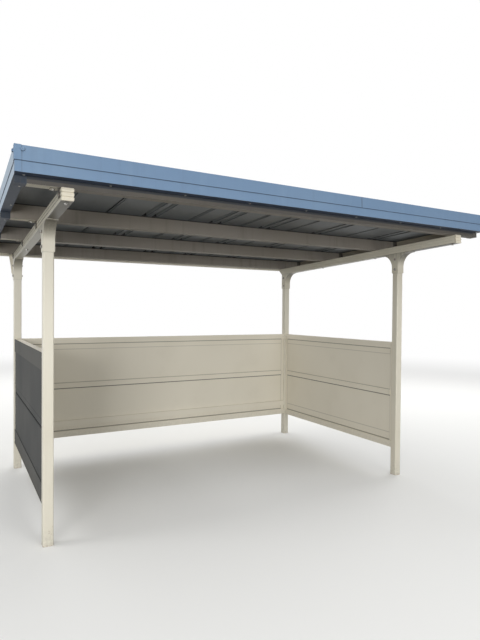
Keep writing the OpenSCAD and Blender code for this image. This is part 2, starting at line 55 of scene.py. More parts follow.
# Fixings: sizes of their heads and washers, and where they sit. HEAD_BODY is the straight share of
# a head's height, and HEAD_TAPER the share of its radius that is left at the top.
FIXING_SIZES = ("Head radius", "Head height", "Washer radius", "Washer height")
HEX_BOLT = dict(zip(FIXING_SIZES, (0.0085, 0.0065, 0.0115, 0.002)))
SMALL_BOLT = dict(zip(FIXING_SIZES, (0.0065, 0.005, 0.009, 0.0015)))
DOME_SCREW = dict(zip(FIXING_SIZES, (0.0085, 0.007, 0.0098, 0.0012)))
SOFFIT_SCREW = dict(zip(FIXING_SIZES, (0.0055, 0.003, 0.0065, 0.0006)))
RIVET = dict(zip(FIXING_SIZES, (0.0042, 0.0022, 0.0048, 0.0004)))
HEX_SIDES = 6
ROUND_SIDES = 16
HEAD_BODY = 0.7
HEAD_TAPER = 0.72
TURN_SEED = 7
HEAD_BOLT_DROPS = (0.046, 0.133)
ARM_BOLT_IN = 0.040
BACK_BOLT_IN = 0.010
SOFFIT_SCREW_IN = 0.046
SOFFIT_SCREW_STEP = 0.20
SOFFIT_SCREW_PITCH = 0.42
RETURN_RIVET_IN = 0.055
RETURN_RIVET_START = 0.12
RETURN_RIVET_PITCH = 0.30
CORNER_SCREW_IN = 0.037
CORNER_SCREW_DROP = 0.020
DECK_SCREW_PITCH = 0.085
RAIL_RIVET_IN = 0.014
RAIL_RIVET_DROP = 0.025
RAIL_RIVET_LIFT = 0.0275

# Small parts: cleats between arms and purlins, caps of the purlin ends, and the seals of the post
# heads, whose bead swells and thins
CLEAT_W = 0.040
CLEAT_OUT = 0.045
CLEAT_DROP = 0.042
CLEAT_T = 0.003
CLEAT_BOLT_OUT = 0.028
CLEAT_BOLT_DROP = 0.62 * CLEAT_DROP
CAP_T = 0.0014
CAP_CLEAR = 0.0002
CAP_SLOT = {"left": 0.001, "right": 0.010}
SEAL_RADIUS = 0.0022
SEAL_SIDES = 8
SEAL_STEP = 0.006
SEAL_CORNER = 0.008
SWELL = (0.75, 1.15)
SWELL_SEED = 3

# Sizes of the folded sheets that the paint and the small parts follow. A pair holds the two ends
# of a soft edge, here and in what follows.
DECK_T = 0.0015
RIB_FOOT = (0.005, 0.008)
RIB_CROWN = (0.0245, 0.0235)
RETURN_W = 0.060
STRIP_H = 0.050
LEDGE_H = 0.045
FOOT_LINE_H = 0.064
CHANNEL_W = 0.030

# Reach of lines, painted light and shade, rust and splashes in the paint, and how rough its patterns are
NOISE_ROUGHNESS = 0.55
HARD_EDGE = 0.001
LINE_EDGE = 0.002
JOINT_REACH = 0.0040
CAP_LINE = 0.0035
BAND_LINE = 0.0035
EDGE_REACH = 0.007
TOP_LINE = 0.007
EDGE_SHADE = (0.016, 0.008)
RIB_SHADE = (0.14, 0.09)
MOSS_REACH = 0.55
ARM_SHADE_REACH = 0.4
TOP_SHADE_LIFT = 0.05
POST_SPLASH_TOP = 0.22
PANEL_SPLASH_TOP = 0.42
RAIL_SPLASH_H = 0.10
FLOOR_RUST = (0.012, 0.001)
LIT_END = 0.02
OUTER_LEDGE_TOP = (0.02, 0.03)
PANEL_DENT = 0.004
EDGE_DENT = 0.003

# Studio: level of the sky overhead and at the horizon, the height of direction where it is full,
# the size of the floor and where it fades to white, the height that the lamps look at, and the
# place, side and power of each lamp
SKY_LEVEL = 0.70
SKY_LOW = 0.36
SKY_FULL = 0.55
FLOOR_REACH = 60.0
FLOOR_FADE = (4.0, 14.0)
LAMP_AIM = 1.0
LAMPS = {
    "key": ((0.6, -6.6, 7.2), 3.2, 90.0),
    "left fill": ((-5.8, -7.8, 1.7), 3.0, 360.0),
    "front fill": ((1.2, -9.4, 1.7), 3.0, 150.0),
    "left sky": ((-8.0, 1.0, 6.0), 3.0, 130.0),
    "right fill": ((6.5, 1.5, 4.5), 4.0, 130.0),
    "back fill": ((1.0, 7.0, 5.0), 4.5, 210.0),
}


def srgb(code):
    """Linear RGBA of a hex colour."""
    parts = (int(code[i:i + 2], 16) / 255 for i in (1, 3, 5))
    return tuple(p / 12.92 if p <= 0.04045 else ((p + 0.055) / 1.055) ** 2.4 for p in parts) + (1.0,)


CREAM = srgb("#dfdaca")
CREAM_WARM = srgb("#d5cebc")
# Pale paint of the walls, also a painted highlight under the purlins outside the left arm
CREAM_PALE = srgb("#ece6d6")
BLUE_GREY = srgb("#6983a0")
BLUE_GREY_CHALK = srgb("#8097ad")
# Painted light on the left roof edge
BLUE_GREY_LIT = srgb("#a3b3c2")
BACK_COAT = srgb("#b3aa99")
DECK_GREY = srgb("#5f6468")
DECK_STAIN = srgb("#4e4b45")
TAUPE = srgb("#8f8981")
# Taupe with painted shade, for the front purlin, the cleats and the right purlin end caps
TAUPE_SHADED = srgb("#5a5753")
SOFFIT_SHADE = srgb("#2c3546")
CAP_SHADE = srgb("#30363f")
LINE_DARK = srgb("#1d1e1f")
# Painted shade on the outer faces of the side walls
OUTER_SHADE_DARK = srgb("#35383b")
# Painted light inside the deck ribs
RIB_LIT_GREY = srgb("#8d9193")
DUST = srgb("#b3a88f")
GRIME = srgb("#7d7565")
# Soot in runs and joints, and painted shade on undersides and towards the tops of the post heads
SOOT_AND_SHADE = srgb("#4a463e")
RUST = srgb("#7b4526")
MOSS = srgb("#55603a")
ZINC = srgb("#9b9a95")
DARK_STEEL = srgb("#3c4046")
FLOOR_PALE = srgb("#ebebe9")
FLOOR_DULL = srgb("#777672")


# Places read from the frame

def points_of(node):
    return [v.co for v in NODES[node].data.vertices]


def roof_frame():
    """Matrix of the tilted roof: its origin is under the front end of the arms, midway between
    them, with Y along the fall and Z square to it."""
    arm = points_of("arm_left")
    front = min(arm, key=lambda p: p.y)
    back = min(arm, key=lambda p: p.z)
    fall = math.atan2(front.z - back.z, back.y - front.y)
    return Matrix.Translation((0, front.y, front.z)) @ Matrix.Rotation(-fall, 4, "X")


ROOF = roof_frame()
ROOF_BACK = ROOF.inverted()


def roof_box(node):
    """(lowest corner, highest corner) of a node in the roof frame."""
    local = [ROOF_BACK @ p for p in points_of(node)]
    return (Vector([min(p[i] for p in local) for i in range(3)]),
            Vector([max(p[i] for p in local) for i in range(3)]))


def on_roof(x, s, n):
    """Point of the roof frame: x across, s along the fall, n square to it."""
    return ROOF @ Vector((x, s, n))


ROOF_TURN = ROOF.to_3x3()
ROOF_UP = ROOF_TURN @ Vector((0, 0, 1))
ROOF_ALONG = ROOF_TURN @ Vector((0, 1, 0))
ACROSS = Vector((1, 0, 0))
ROOF_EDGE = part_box("roof_corner_caps")[1]
DECK_FLAT = roof_box("purlin_second")[1].z
WALL_FACE = (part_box("right_wall_top_rail")[0].x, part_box("back_wall_top_rail")[0].y)
PURLINS = ("purlin_front", "purlin_second", "purlin_third", "purlin_back")
DECK_SHEETS = ["deck_sheet_%d" % i for i in range(1, 7)]
WALL_OUT = {"back": Vector((0, 1, 0)), "left": Vector((-1, 0, 0)), "right": Vector((1, 0, 0))}
SIDES = ("left", "right")


# Meshes

def mesh_object(name, vertices, faces, edges=()):
    mesh = bpy.data.meshes.new(name)
    mesh.from_pydata([tuple(v) for v in vertices], list(edges), faces)
    mesh.update()
    item = bpy.data.objects.new(name, mesh)
    bpy.context.scene.collection.objects.link(item)
    return item


def angle_plate(corner, along, out, down, width, reach, drop, t):
    """Vertices and faces of an L-shaped plate: one leg runs out, the other one down."""
    outline = [(0, 0), (reach, 0), (reach, -t), (t, -t), (t, -drop), (0, -drop)]
    ring = [corner + out * a - down * b for a, b in outline]
    count = len(ring)
    vertices = [p + along * (width * k) for k in (-0.5, 0.5) for p in ring]
    sides = [(i, (i + 1) % count, (i + 1) % count + count, i + count) for i in range(count)]
    ends = [(0, 3, 2, 1), (0, 5, 4, 3), (6, 7, 8, 9), (6, 9, 10, 11)]
    return vertices, sides + ends


def joined(name, parts):
    """One mesh of several (vertices, faces) parts, with its faces turned outwards."""
    vertices, faces = [], []
    for part_vertices, part_faces in parts:
        start = len(vertices)
        vertices += part_vertices
        faces += [tuple(i + start for i in face) for face in part_faces]
    item = mesh_object(name, vertices, faces)
    face_outwards(item)
    return item


def face_outwards(item):
    bpy.context.view_layer.objects.active = item
    item.select_set(True)
    bpy.ops.object.mode_set(mode="EDIT")
    bpy.ops.mesh.select_all(action="SELECT")
    bpy.ops.mesh.normals_make_consistent(inside=False)
    bpy.ops.object.mode_set(mode="OBJECT")
    item.select_set(False)


# Node trees

def socket_of(sockets, key):
    if isinstance(key, int):
        return sockets[key]
    return next(s for s in sockets if key in (s.identifier, s.name))


class Sheet:
    """A node tree under construction."""

    def __init__(self, tree):
        self.tree = tree
        self.tree.nodes.clear()

    def add(self, kind, settings=None, inputs=None):
        """Adds a node: its settings first, then the values or links of its sockets."""
        node = self.tree.nodes.new(kind)
        for name, value in (settings or {}).items():
            setattr(node, name, value)
        for key, value in (inputs or {}).items():
            self.join(socket_of(node.inputs, key), value)
        return node

    def join(self, socket, value):
        if isinstance(value, Field):
            value = value.socket
        if isinstance(value, bpy.types.Node):
            value = next(s for s in value.outputs if s.enabled)
        if isinstance(value, bpy.types.NodeSocket):
            self.tree.links.new(value, socket)
        else:
            socket.default_value = value


class Field:
    """A number that varies over a surface. Arithmetic on it adds Math nodes to its tree."""

    def __init__(self, sheet, socket):
        self.sheet = sheet
        self.socket = socket

    def math(self, operation, first, second=0.0, clamp=False):
        settings = {"operation": operation, "use_clamp": clamp}
        node = self.sheet.add("ShaderNodeMath", settings, {0: first, 1: second})
        return Field(self.sheet, node.outputs[0])

    def __add__(self, other):
        return self.math("ADD", self, other)

    def __sub__(self, other):
        return self.math("SUBTRACT", self, other)

    def __mul__(self, other):
        return self.math("MULTIPLY", self, other)

    def __pow__(self, other):
        return self.math("POWER", self, other)

    def __radd__(self, other):
        return self.math("ADD", other, self)

    def __rsub__(self, other):
        return self.math("SUBTRACT", other, self)

    def __rmul__(self, other):
        return self.math("MULTIPLY", other, self)

    def __abs__(self):
        return self.math("ABSOLUTE", self)

    def above(self, low, high):
        """0 below low, 1 above high, smooth between. The other way round where low > high."""
        settings = {"interpolation_type": "SMOOTHSTEP"}
        inputs = {"Value": self, "From Min": low, "From Max": high}
        return Field(self.sheet, self.sheet.add("ShaderNodeMapRange", settings, inputs).outputs["Result"])

    def near(self, middle, reach):
        """1 at middle, falling to 0 at reach away from it."""
        return abs(self - middle).above(reach, 0.0)

    def at_most_one(self):
        return self.math("ADD", self, 0.0, clamp=True)


class Surface(Sheet):
    """A material under construction, with patterns placed by Object coordinates."""

    def __init__(self, name):
        self.material = bpy.data.materials.new(name)
        self.material.use_nodes = True
        super().__init__(self.material.node_tree)
        self.place = self.add("ShaderNodeTexCoord").outputs["Object"]
        split = self.add("ShaderNodeSeparateXYZ", None, {"Vector": self.place})
        self.x, self.y, self.z = (Field(self, split.outputs[axis]) for axis in "XYZ")
        normal = self.add("ShaderNodeNewGeometry").outputs["Normal"]
        turned = self.add("ShaderNodeSeparateXYZ", None, {"Vector": normal})
        facing = [Field(self, turned.outputs[axis]) for axis in "XYZ"]
        self.facing_x, self.facing_y, self.facing_up = facing

    def underside(self):
        return self.facing_up.above(-0.6, -0.9)

    def front(self):
        return self.facing_y.above(-0.6, -0.9)

    def to_middle(self, half):
        """1 on faces that look towards the middle of a ring whose half sizes are given: those that
        look across, and those that look along."""
        across = self.x * self.facing_x * (-1 / half[0])
        along = self.y * self.facing_y * (-1 / half[1])
        return across.above(0.70, 0.80), along.above(0.70, 0.80)

    def inward(self, half):
        across, along = self.to_middle(half)
        return across + along

    def channel_edges(self):
        """1 on the inner faces of the walls, along the edges of the upright end channels."""
        low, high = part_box("right_wall_top_rail")
        side_wall, back_wall = self.to_middle(WALL_FACE)
        on_back = abs(self.x).near(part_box("back_wall_top_rail")[1].x - CHANNEL_W, EDGE_REACH)
        on_side = abs(self.y - (low.y + high.y) / 2).near((high.y - low.y) / 2 - CHANNEL_W, EDGE_REACH)
        return on_back * back_wall + on_side * side_wall

    def outward(self):
        """1 on the outer faces of the side walls, and on the ledges between their panels."""
        low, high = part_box("right_wall_top_rail")
        side = (self.x * self.facing_x * (1 / high.x)).above(0.85, 0.95)
        middle = (low.x + high.x) / 2
        outer_half = abs(self.x).above(middle, middle + LINE_EDGE)
        under_rail = self.z.above(low.z - OUTER_LEDGE_TOP[0], low.z - OUTER_LEDGE_TOP[1])
        ledge = abs(self.facing_up).above(0.2, 0.4) * outer_half * under_rail
        return (side + ledge).at_most_one()

    def over_roof(self):
        """Height square to the tilted roof, as in on_roof."""
        row = ROOF_BACK[2]
        return self.x * row[0] + self.y * row[1] + self.z * row[2] + row[3]

    def stretched(self, stretch, shift):
        mapping = {"Vector": self.place, "Location": shift, "Scale": stretch}
        return self.add("ShaderNodeMapping", None, mapping).outputs["Vector"]

    def noise(self, scale, detail=3.0, stretch=(1, 1, 1), shift=(0, 0, 0)):
        inputs = {"Vector": self.stretched(stretch, shift), "Scale": scale, "Detail": detail,
                  "Roughness": NOISE_ROUGHNESS}
        return Field(self, self.add("ShaderNodeTexNoise", None, inputs).outputs["Fac"])

    def cells(self, scale):
        """Distance to the nearest of many scattered points."""
        inputs = {"Vector": self.place, "Scale": scale}
        return Field(self, self.add("ShaderNodeTexVoronoi", None, inputs).outputs["Distance"])

    def tint(self, base, other, amount):
        settings = {"data_type": "RGBA"}
        inputs = {"Factor_Float": amount, "A_Color": base, "B_Color": other}
        return socket_of(self.add("ShaderNodeMix", settings, inputs).outputs, "Result_Color")

    def relief(self, height, distance, strength=1.0, under=None):
        inputs = {"Height": height, "Distance": distance, "Strength": strength}
        if under is not None:
            inputs["Normal"] = under
        return self.add("ShaderNodeBump", None, inputs).outputs["Normal"]

    def finish(self, color, roughness, normal, metallic=0.0, **constants):
        inputs = {"Base Color": color, "Roughness": roughness, "Normal": normal, "Metallic": metallic}
        inputs.update({name.replace("_", " "): value for name, value in constants.items()})
        shader = self.add("ShaderNodeBsdfPrincipled", None, inputs)
        self.add("ShaderNodeOutputMaterial", None, {"Surface": shader})
        return self.material


# Finishes

def streaks(surface, scale, shift=(0, 0, 0)):
    """Narrow upright runs left by rain."""
    return surface.noise(scale, 4.0, (1, 1, 0.035), shift).above(0.50, 0.72)


def rust_specks(surface, where):
    """Small rust spots inside the mask where."""
    spots = surface.cells(85.0).above(0.30, 0.12)
    patchy = surface.noise(9.0, 2.0).above(0.55, 0.72)
    return spots * patchy * where


def orange_peel(surface):
    """Fine texture of a sprayed coat."""
    return surface.relief(surface.noise(520.0, 2.0), 0.00025, 0.35)


def cream_paint(name, color=CREAM, wave=0.0, seams=(), foot=None, feet_rust=False, gloss=0.46, dirt=1.0,
                outer_shade=0.0, under=0.0, shade_fade=None, crown=None):
    """Cream coat of the frame and walls. wave is the depth of the dents in a thin sheet, seams lists
    the (foot, height, strength) of the dark joints in the walls, foot is the (low, high) of splashed
    dirt, and dirt scales dust and runs. The value after dirt is the strength of painted shade on the
    outer faces of the side walls and their ledges, under that of painted shade on the undersides,
    which thins out over the y range that follows it, and crown the (low, high) of painted shade that
    darkens towards the top, broken into runs."""
    s = Surface(name)
    tone = s.noise(1.1, 2.0)
    color = s.tint(color, CREAM_WARM, tone.above(0.35, 0.75) * (0.45 * min(dirt, 1.0)))
    dusty = s.noise(4.5, 6.0).above(0.48, 0.85) * (0.16 * dirt) + s.facing_up.above(0.6, 0.95) * 0.40
    color = s.tint(color, DUST, dusty.at_most_one())
    runs = streaks(s, 22.0) * s.noise(0.9, 2.0, (1, 1, 0.5), (3, 1, 0)).above(0.46, 0.70)
    color = s.tint(color, GRIME, runs * (0.13 * dirt))
    rough = gloss + dusty * 0.25
    # Painted shade on the undersides.
    if under > 0:
        color = shaded_below(s, color, under, shade_fade)
    # Painted shade that darkens towards the top of the post heads, broken into runs.
    if crown is not None:
        runs = 0.60 + s.noise(60.0, 3.0, (1, 1, 0.05)).above(0.40, 0.62) * 0.40
        color = s.tint(color, SOOT_AND_SHADE, s.z.above(*crown) * runs * 0.5)
    # Painted shade on the outer faces of the side walls and on their ledges, which are also made rougher.
    if outer_shade > 0:
        outer_shade_mask = s.outward() * (0.92 + s.noise(1.3, 3.0) * 0.12).at_most_one()
        color = s.tint(color, OUTER_SHADE_DARK, outer_shade_mask * outer_shade)
        rough = rough + outer_shade_mask * 0.25
    if seams:
        color = wall_lines(s, color, seams)
    if foot is not None:
        splash = splashed(s, *foot)
        color = s.tint(color, GRIME, splash * (0.30 * dirt))
        rough = rough + splash * 0.2
    if feet_rust:
        color = rusty_feet(s, color, *foot)
    normal = orange_peel(s)
    if wave > 0:
        normal = s.relief(s.noise(2.1, 1.5), wave, 1.0, normal)
    return s.finish(color, rough, normal, Specular_IOR_Level=0.12 if outer_shade > 0 else 0.4)


def shaded_below(surface, color, under, fade):
    """Painted shade on the undersides, which thins out over the y range fade."""
    below = surface.facing_up.above(0.1, -0.95) * under
    if fade is not None:
        below = below * (1 - surface.y.above(*fade) * 0.6)
    return surface.tint(color, SOOT_AND_SHADE, below)


def wall_lines(surface, color, seams):
    """Dark joints on both faces of the walls, and soft lines along the end channels."""
    for low, height, strength in seams:
        top = low + height
        joint = surface.z.above(low - HARD_EDGE, low) * surface.z.above(top + HARD_EDGE, top)
        color = surface.tint(color, SOOT_AND_SHADE, joint * surface.inward(WALL_FACE) * strength)
        color = surface.tint(color, LINE_DARK, joint * surface.outward() * strength)
    return surface.tint(color, SOOT_AND_SHADE, surface.channel_edges() * 0.45)


def splashed(surface, low, high):
    """Dirt thrown up from the ground, with a ragged upper edge."""
    ragged = surface.z + surface.noise(3.0, 4.0) * (0.5 * (high - low))
    return ragged.above(high, low + 0.25 * (high - low)) * surface.noise(55.0, 8.0).above(0.30, 0.75)


def rusty_feet(surface, color, low, high):
    """Rust spots on the lower posts and a rusty edge on the floor."""
    specks = rust_specks(surface, surface.z.above(high * 0.8, low))
    color = surface.tint(color, RUST, specks * 0.8)
    edge = surface.z.above(*FLOOR_RUST) * surface.noise(60.0, 4.0).above(0.45, 0.60)
    return surface.tint(color, RUST, edge * 0.5)


def purlin_coat(name, color, shaded=False):
    """Dull taupe coat with dusty runs and a painted shadow line under the deck. Undersides go back to
    plain taupe where the given colour is its copy with painted shade, and get a painted highlight
    outside the left arm. Where shaded, painted shade darkens the front face behind the roof edge."""
    s = Surface(name)
    # Undersides go back to the plain taupe, where the given colour is its copy with painted shade.
    color = s.tint(color, TAUPE, s.underside() * 0.7)
    tone = s.noise(1.4, 3.0).above(0.35, 0.75)
    color = s.tint(color, GRIME, tone * 0.30)
    color = s.tint(color, SOOT_AND_SHADE, streaks(s, 24.0) * 0.16)
    # Painted shadow line on the front faces, just under the deck.
    line = DECK_FLAT - TOP_LINE
    shadow_line = s.facing_y.above(-0.4, -0.7) * s.over_roof().above(line, line + LINE_EDGE)
    color = s.tint(color, LINE_DARK, shadow_line * 0.9)
    # Painted shade on the front face behind the roof edge.
    if shaded:
        edge = roof_box("fascia_front_lower")[0].z
        front_shade = s.front() * s.over_roof().above(edge - EDGE_SHADE[0], edge - EDGE_SHADE[1])
        color = s.tint(color, CAP_SHADE, front_shade * 0.8)
    # Painted highlight on the undersides outside the left arm.
    left_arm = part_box("arm_left")[0].x
    lit = s.underside() * s.x.above(left_arm, left_arm - LIT_END)
    color = s.tint(color, CREAM_PALE, lit * 0.8)
    rough = 0.55 + tone * 0.12
    return s.finish(color, rough, orange_peel(s), Specular_IOR_Level=0.25)


def joint_place():
    """Place across the roof of the joint between the two lengths of the front edge."""
    corner = roof_box("fascia_front_upper")[1].x
    inner = [p.x for p in points_of("fascia_front_upper") if abs(p.x) < 0.9 * corner]
    return sum(inner) / len(inner)


def blue_paint(name, color=BLUE_GREY, chalk=0.35, gloss=0.46, joint=None):
    """Blue-grey coat of the roof edge: chalky, washed by rain from the top edge down, with the
    beige coat of the sheet's reverse on faces that look inwards and painted shade on the
    undersides. joint is the place across the roof of a dark joint."""
    s = Surface(name)
    tone = s.noise(0.9, 3.0, (1, 1, 2.0))
    color = s.tint(color, BLUE_GREY_CHALK, tone.above(0.40, 0.80) * chalk)
    color = s.tint(color, BLUE_GREY_CHALK, streaks(s, 17.0) * 0.12)
    runs = streaks(s, 31.0, (5, 2, 0)) * s.noise(1.6, 2.0).above(0.45, 0.70)
    color = s.tint(color, SOOT_AND_SHADE, runs * 0.10)
    dusty = s.facing_up.above(0.6, 0.95) * (0.34 + s.noise(7.0, 5.0).above(0.35, 0.75) * 0.24)
    color = s.tint(color, DUST, dusty)
    cap_edge = min(abs(p.x) for p in points_of("roof_corner_caps"))
    across = abs(s.facing_y).above(0.6, 0.9)
    color = s.tint(color, SOOT_AND_SHADE, across * abs(s.x).near(cap_edge - CAP_LINE / 2, CAP_LINE) * 0.3)
    between = roof_box("fascia_front_upper")[0].z
    sideways = 1 - abs(s.facing_up).above(0.3, 0.6)
    color = s.tint(color, LINE_DARK, sideways * s.over_roof().near(between, BAND_LINE) * 0.6)
    if joint is not None:
        color = s.tint(color, SOOT_AND_SHADE, s.front() * s.x.near(joint, JOINT_REACH) * 0.85)
    color = s.tint(color, BACK_COAT, s.inward(ROOF_EDGE))
    # Painted shade on the undersides.
    color = s.tint(color, SOFFIT_SHADE, s.underside() * 0.95)
    rough = gloss + tone * 0.12 + dusty * 0.3
    normal = s.relief(s.noise(2.4, 1.0, (1, 1, 0.4)), EDGE_DENT, 1.0, orange_peel(s))
    return s.finish(color, rough, normal, Specular_IOR_Level=0.3)


def deck_coating():
    """Grey coated deck: water stains along the ribs below, painted light and shade in the ribs, weathered
    dirt and moss on top.
    """
    s = Surface("deck coating")
    tone = s.noise(1.2, 3.0, (1.0, 0.35, 1.0))
    color = s.tint(DECK_GREY, DECK_STAIN, tone.above(0.42, 0.80) * 0.45)
    seep = s.noise(9.0, 4.0, (1.0, 0.10, 1.0)).above(0.52, 0.74)
    color = rib_shades(s, s.tint(color, SOOT_AND_SHADE, seep * 0.28))
    top = s.facing_up.above(0.1, 0.6)
    dirt = top * (0.45 + s.noise(6.0, 6.0, (1.0, 0.22, 1.0)).above(0.34, 0.66) * 0.45)
    color = s.tint(color, GRIME, dirt * 0.55)
    back_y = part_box("deck_sheet_3")[1].y
    low_end = s.y.above(back_y - MOSS_REACH, back_y)
    moss = top * low_end * s.noise(22.0, 6.0).above(0.46, 0.62)
    color = s.tint(color, MOSS, moss * 0.8)
    rough = 0.50 + dirt * 0.25
    normal = s.relief(s.noise(320.0, 2.0), 0.0003, 0.3)
    return s.finish(color, rough, normal, Specular_IOR_Level=0.35)


def rib_shades(surface, color):
    """Painted light that lifts the shade inside the ribs, and painted shade at their ends over the purlins.
    """
    height = surface.over_roof() - DECK_FLAT
    in_rib = surface.facing_up.above(-0.15, -0.30) * height.above(*RIB_FOOT) * height.above(*RIB_CROWN)
    # Painted light inside the ribs.
    color = surface.tint(color, RIB_LIT_GREY, in_rib * 0.85)
    # Painted shade where the ribs end over the purlins.
    far, near = RIB_SHADE
    for purlin in PURLINS:
        front_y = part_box(purlin)[0].y
        begins = surface.y.above(front_y - LINE_EDGE, front_y)
        over = begins * surface.y.above(front_y + far, front_y + near)
        color = surface.tint(color, LINE_DARK, in_rib * over)
    return color


def zinc_plate():
    s = Surface("zinc-plated steel")
    spangle = s.noise(260.0, 3.0)
    color = s.tint(ZINC, DARK_STEEL, spangle.above(0.45, 0.85) * 0.5)
    rusty = s.noise(70.0, 4.0).above(0.56, 0.70)
    color = s.tint(color, RUST, rusty * 0.7)
    shine = 0.85 - rusty * 0.6
    rough = 0.36 + rusty * 0.4
    return s.finish(color, rough, s.relief(s.noise(900.0, 2.0), 0.0002, 0.3), shine)


# Fixings made by geometry nodes

def group_tree(name, sizes):
    """New geometry tree with a geometry input and a named length for each of sizes."""
    tree = bpy.data.node_groups.new(name, "GeometryNodeTree")
    face = tree.interface
    face.new_socket("Geometry", in_out="INPUT", socket_type="NodeSocketGeometry")
    for size in sizes:
        face.new_socket(size, in_out="INPUT", socket_type="NodeSocketFloat")
    face.new_socket("Material", in_out="INPUT", socket_type="NodeSocketMaterial")
    face.new_socket("Geometry", in_out="OUTPUT", socket_type="NodeSocketGeometry")
    sheet = Sheet(tree)
    return sheet, sheet.add("NodeGroupInput")


def fixing_tree(sides):
    """Puts a washer and a head with that many sides on each point, turned to its facing."""
    sheet, given = group_tree("fixing with %d sides" % sides, FIXING_SIZES)
    size = {name: Field(sheet, given.outputs[name]) for name in FIXING_SIZES}
    fixing = washer_and_head(sheet, size, sides)
    placed = sheet.add("GeometryNodeInstanceOnPoints", None, {
        "Points": given.outputs["Geometry"], "Instance": fixing.outputs["Geometry"],
        "Rotation": turned_to_facing(sheet)})
    close_tree(sheet, given, placed.outputs["Instances"])
    return sheet.tree


def washer_and_head(sheet, size, sides):
    """A washer, the head on it, and a cone that bevels the top of the head."""
    washer = sheet.add("GeometryNodeMeshCylinder", None, {
        "Vertices": ROUND_SIDES, "Radius": size["Washer radius"], "Depth": size["Washer height"]})
    body_h = size["Head height"] * HEAD_BODY
    body = sheet.add("GeometryNodeMeshCylinder", None, {
        "Vertices": sides, "Radius": size["Head radius"], "Depth": body_h})
    crown = sheet.add("GeometryNodeMeshCone", None, {
        "Vertices": sides, "Radius Bottom": size["Head radius"],
        "Radius Top": size["Head radius"] * HEAD_TAPER,
        "Depth": size["Head height"] * (1 - HEAD_BODY)})
    raised = [
        raised_by(sheet, washer.outputs["Mesh"], size["Washer height"] * 0.5),
        raised_by(sheet, body.outputs["Mesh"], size["Washer height"] + body_h * 0.5),
        raised_by(sheet, crown.outputs["Mesh"], size["Washer height"] + body_h),
    ]
    fixing = sheet.add("GeometryNodeJoinGeometry")
    for item in reversed(raised):
        sheet.join(fixing.inputs["Geometry"], item)
    return fixing


def turned_to_facing(sheet):
    """Rotation that stands a fixing on its face, spun about itself by a random angle."""
    facing = sheet.add("GeometryNodeInputNamedAttribute", {"data_type": "FLOAT_VECTOR"}, {"Name": "facing"})
    upright = sheet.add("FunctionNodeAlignRotationToVector", {"axis": "Z"}, {
        "Vector": facing.outputs["Attribute"]})
    spin = sheet.add("FunctionNodeRandomValue", {"data_type": "FLOAT"}, {
        "Min_001": 0.0, "Max_001": 2 * math.pi, "Seed": TURN_SEED})
    turn = sheet.add("FunctionNodeAxisAngleToRotation", None, {
        "Axis": (0, 0, 1), "Angle": spin.outputs[1]})
    turned = sheet.add("FunctionNodeRotateRotation", {"rotation_space": "LOCAL"}, {
        "Rotation": upright.outputs["Rotation"], "Rotate By": turn.outputs["Rotation"]})
    return turned.outputs["Rotation"]


def raised_by(sheet, mesh, height):
    lift = sheet.add("ShaderNodeCombineXYZ", None, {"Z": height})
    return sheet.add("GeometryNodeTransform", None, {
        "Geometry": mesh, "Translation": lift.outputs["Vector"]})


def close_tree(sheet, given, geometry):
    real = sheet.add("GeometryNodeRealizeInstances", None, {"Geometry": geometry})
    coated = sheet.add("GeometryNodeSetMaterial", None, {
        "Geometry": real, "Material": given.outputs["Material"]})
    sheet.add("NodeGroupOutput", None, {"Geometry": coated})


def bead_tree():
    """Sweeps a rippled round bead along each edge path."""
    sheet, given = group_tree("bead", ("Bead radius", "Step"))
    path = sheet.add("GeometryNodeMeshToCurve", None, {"Mesh": given.outputs["Geometry"]})
    steps = sheet.add("GeometryNodeResampleCurve", {"mode": "LENGTH"}, {
        "Curve": path, "Length": given.outputs["Step"]})
    ripple = sheet.add("FunctionNodeRandomValue", {"data_type": "FLOAT"}, {
        "Min_001": SWELL[0], "Max_001": SWELL[1], "Seed": SWELL_SEED})
    swollen = sheet.add("GeometryNodeSetCurveRadius", None, {
        "Curve": steps, "Radius": ripple.outputs[1]})
    ring = sheet.add("GeometryNodeCurvePrimitiveCircle", {"mode": "RADIUS"}, {
        "Resolution": SEAL_SIDES, "Radius": given.outputs["Bead radius"]})
    tube = sheet.add("GeometryNodeCurveToMesh", None, {
        "Curve": swollen, "Profile Curve": ring.outputs["Curve"], "Scale": 1.0, "Fill Caps": True})
    close_tree(sheet, given, tube.outputs["Mesh"])
    return sheet.tree


def grown(name, seed_object, tree, sizes, material):
    """Runs a geometry tree on an object and keeps the result as a plain mesh."""
    grow = seed_object.modifiers.new(name, "NODES")
    grow.node_group = tree
    keys = {s.name: s.identifier for s in tree.interface.items_tree if s.in_out == "INPUT"}
    for size, value in sizes.items():
        grow[keys[size]] = value
    grow[keys["Material"]] = material
    seen = seed_object.evaluated_get(bpy.context.evaluated_depsgraph_get())
    mesh = bpy.data.meshes.new_from_object(seen)
    seed_object.modifiers.remove(grow)
    bpy.data.objects.remove(seed_object)
    mesh.name = name
    piece = bpy.data.objects.new(name, mesh)
    bpy.context.scene.collection.objects.link(piece)
    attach(piece, BODY)
    return piece


def points_object(places):
    """Loose points, each with the direction that its fixing faces."""
    item = mesh_object("points", [place for place, _ in places], [])
    facing = item.data.attributes.new("facing", "FLOAT_VECTOR", "POINT")
    for value, (_, direction) in zip(facing.data, places):
        value.vector = direction
    return item


def fixings(name, places, tree, sizes, material):
    return grown(name, points_object(places), tree, sizes, material)


def beads(name, paths, tree, sizes, material):
    """Beads along several lists of points; a closed path repeats its first point."""
    vertices, edges = [], []
    for path in paths:
        start = len(vertices)
        vertices += path
        edges += [(start + i, start + i + 1) for i in range(len(path) - 1)]
    return grown(name, mesh_object("paths", vertices, [], edges), tree, sizes, material)


# Places of the fixings

